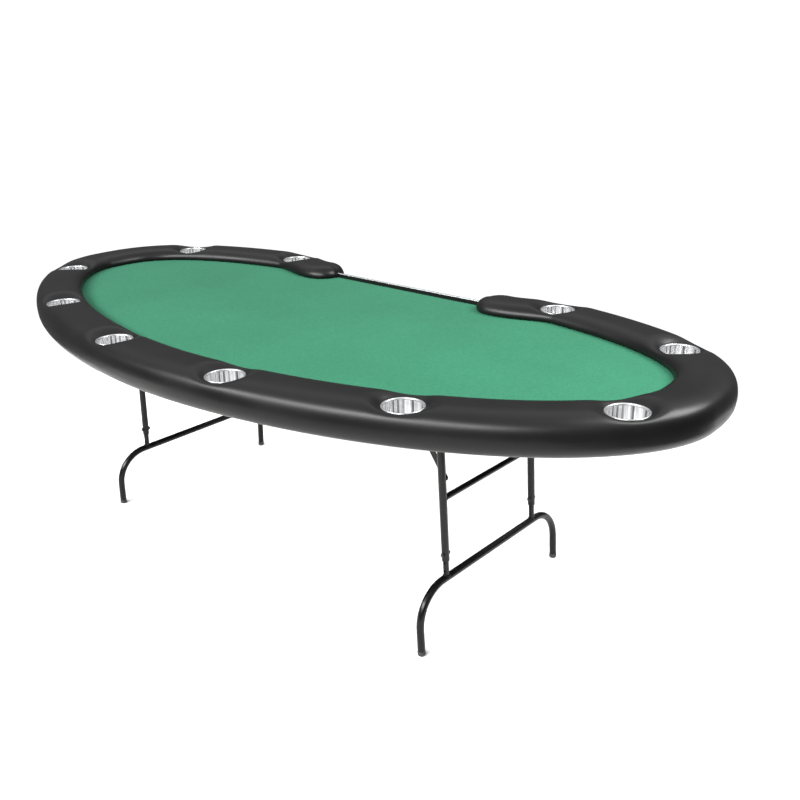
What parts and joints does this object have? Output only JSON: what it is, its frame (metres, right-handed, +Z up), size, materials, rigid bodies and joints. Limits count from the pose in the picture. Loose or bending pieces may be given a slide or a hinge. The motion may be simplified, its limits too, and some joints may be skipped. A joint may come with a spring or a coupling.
{
  "type": "poker table",
  "caption": "Oval poker table with green cloth, black padded rail, drop-in steel cup holders and two folding tubular steel leg frames of adjustable height.",
  "frame": {"origin": "on the floor under the middle of the table's plan", "axes": "+X along the table's length, +Y towards the dealer's straight edge, +Z up"},
  "size_m": [2.5316, 1.1717, 0.764],
  "materials": {
    "leatherette": "semi-gloss grained vinyl over foam",
    "green_cloth": "matt woven speed cloth",
    "underlay_foam": "closed-cell foam",
    "plywood": "unfinished",
    "black_board": "black stained plywood",
    "stainless_steel": "polished, drawn",
    "black_edging": "gloss black edging",
    "aluminium_bead": "satin",
    "black_paint": "semi-gloss black powder coat",
    "black_bolt": "blackened zinc",
    "cap_plastic": "moulded"
  },
  "bodies": {
    "table_top": {"base_panel": "black_board", "cloth_underlay": "underlay_foam", "cup_holder_left_1": "stainless_steel", "cup_holder_left_2": "stainless_steel", "cup_holder_left_3": "stainless_steel", "cup_holder_left_4": "stainless_steel", "cup_holder_left_5": "stainless_steel", "cup_holder_right_1": "stainless_steel", "cup_holder_right_2": "stainless_steel", "cup_holder_right_3": "stainless_steel", "cup_holder_right_4": "stainless_steel", "cup_holder_right_5": "stainless_steel", "dealer_edge_bead": "aluminium_bead", "dealer_edge_strip": "black_edging", "left_far_brace_bracket": "black_bolt", "left_far_pivot_strap": "black_bolt", "left_near_brace_bracket": "black_bolt", "left_near_pivot_strap": "black_bolt", "padded_rail_left_1": "leatherette", "padded_rail_left_2": "leatherette", "padded_rail_left_3": "leatherette", "padded_rail_left_4": "leatherette", "padded_rail_left_5": "leatherette", "padded_rail_right_1": "leatherette", "padded_rail_right_2": "leatherette", "padded_rail_right_3": "leatherette", "padded_rail_right_4": "leatherette", "padded_rail_right_5": "leatherette", "playing_cloth": "green_cloth", "playing_panel": "plywood", "right_far_brace_bracket": "black_bolt", "right_far_pivot_strap": "black_bolt", "right_near_brace_bracket": "black_bolt", "right_near_pivot_strap": "black_bolt"},
    "left_leg_frame": {"left_crossbar": "black_paint", "left_far_outer_tube": "black_paint", "left_near_outer_tube": "black_paint", "left_pivot_tube": "black_paint"},
    "left_foot_frame": {"left_far_foot_cap": "cap_plastic", "left_far_inner_tube": "black_paint", "left_foot_bar": "black_paint", "left_near_foot_cap": "cap_plastic", "left_near_inner_tube": "black_paint"},
    "left_upper_links": {"left_far_brace_upper_link": "black_paint", "left_near_brace_upper_link": "black_paint"},
    "left_lower_links": {"left_far_brace_lower_link": "black_paint", "left_near_brace_lower_link": "black_paint"},
    "right_leg_frame": {"right_crossbar": "black_paint", "right_far_outer_tube": "black_paint", "right_near_outer_tube": "black_paint", "right_pivot_tube": "black_paint"},
    "right_foot_frame": {"right_far_foot_cap": "cap_plastic", "right_far_inner_tube": "black_paint", "right_foot_bar": "black_paint", "right_near_foot_cap": "cap_plastic", "right_near_inner_tube": "black_paint"},
    "right_upper_links": {"right_far_brace_upper_link": "black_paint", "right_near_brace_upper_link": "black_paint"},
    "right_lower_links": {"right_far_brace_lower_link": "black_paint", "right_near_brace_lower_link": "black_paint"}
  },
  "joints": [
    {"name": "left_leg_fold", "type": "hinge", "parent": "table_top", "child": "left_leg_frame", "pos_m": [-0.65146, 0.0444, 0.654], "axis": [0, -1, 0], "range_deg": [0, 92.9]},
    {"name": "left_leg_height", "type": "slide", "parent": "left_leg_frame", "child": "left_foot_frame", "axis": [-0.052, 0, -0.9986], "range_m": [0, 0.15]},
    {"name": "left_brace_upper", "type": "hinge", "parent": "table_top", "child": "left_upper_links", "pos_m": [-0.53146, 0.0444, 0.654], "axis": [0, 1, 0], "range_deg": [0, 55.7]},
    {"name": "left_brace_lower", "type": "hinge", "parent": "left_leg_frame", "child": "left_lower_links", "pos_m": [-0.66136, 0.0444, 0.46377], "axis": [0, -1, 0], "range_deg": [0, 31.39]},
    {"name": "right_leg_fold", "type": "hinge", "parent": "table_top", "child": "right_leg_frame", "pos_m": [0.65146, 0.0444, 0.654], "axis": [0, 1, 0], "range_deg": [0, 88]},
    {"name": "right_leg_height", "type": "slide", "parent": "right_leg_frame", "child": "right_foot_frame", "axis": [0.052, 0, -0.9986], "range_m": [0, 0.15]},
    {"name": "right_brace_upper", "type": "hinge", "parent": "table_top", "child": "right_upper_links", "pos_m": [0.53146, 0.0444, 0.654], "axis": [0, -1, 0], "range_deg": [0, 54.53]},
    {"name": "right_brace_lower", "type": "hinge", "parent": "right_leg_frame", "child": "right_lower_links", "pos_m": [0.66136, 0.0444, 0.46377], "axis": [0, 1, 0], "range_deg": [0, 30.71]}
  ],
  "couplings": [
    {"joint": "left_brace_upper", "follows": "left_leg_fold", "ratio": 0.59906},
    {"joint": "left_brace_lower", "follows": "left_leg_fold", "ratio": 0.33733},
    {"joint": "right_brace_upper", "follows": "right_leg_fold", "ratio": 0.61904},
    {"joint": "right_brace_lower", "follows": "right_leg_fold", "ratio": 0.34837}
  ]
}
